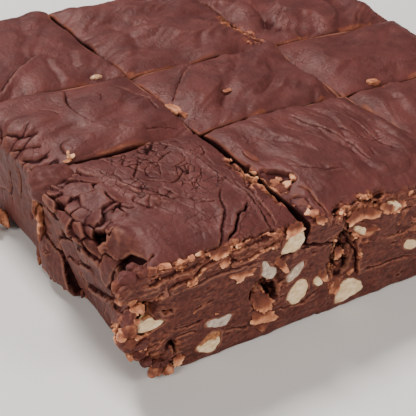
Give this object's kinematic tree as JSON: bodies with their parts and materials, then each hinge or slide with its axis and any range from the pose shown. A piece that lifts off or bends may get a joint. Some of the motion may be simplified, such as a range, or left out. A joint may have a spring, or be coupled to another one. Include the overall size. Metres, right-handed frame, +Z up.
{
  "type": "chocolate fudge slab",
  "caption": "Slab of chocolate fudge with almond pieces, cut into squares that still lie together, with a creased skin, crumbly cut faces and a curled crumb at its foot.",
  "frame": {"origin": "middle of the slab's underside, at the centre of the bounding box", "axes": "+X along the front cut from the left tin wall to the right end, +Y from the front cut to the back wall, +Z up"},
  "size_m": [0.1572, 0.1284, 0.0376],
  "materials": {
    "fudge": "soft satin skin, dull and crumbly where cut",
    "almond": "dull cut almond with brown skin"
  },
  "bodies": {
    "root": {"square_front_left": "fudge", "square_front_centre": "fudge", "square_front_right": "fudge", "square_middle_left": "fudge", "square_middle_centre": "fudge", "square_middle_right": "fudge", "square_back_left": "fudge", "square_back_centre": "fudge", "square_back_right": "fudge", "crumb_left_foot": "fudge", "almond_front_top_edge": "almond", "almond_front_upper": "almond", "almond_front_slanted": "almond", "almond_front_large": "almond", "almond_front_small": "almond", "almond_front_foot": "almond", "almond_front_corner": "almond", "almond_front_sliver": "almond", "almond_front_skinned": "almond", "almond_front_ledge": "almond", "almond_front_rim": "almond", "almond_front_mid": "almond", "almond_front_right_low": "almond", "almond_front_right_high": "almond", "almond_front_right_mid": "almond", "almond_front_right_rim": "almond", "almond_front_right_foot": "almond", "almond_end_near": "almond", "almond_end_near_high": "almond", "almond_end_near_foot": "almond", "almond_end_middle": "almond", "almond_end_middle_foot": "almond", "almond_end_far_high": "almond", "almond_end_far": "almond", "almond_in_slot": "almond", "almond_crossing": "almond", "almond_back_cut": "almond", "almond_back_cut_small": "almond", "almond_right_cut": "almond"}
  },
  "joints": []
}
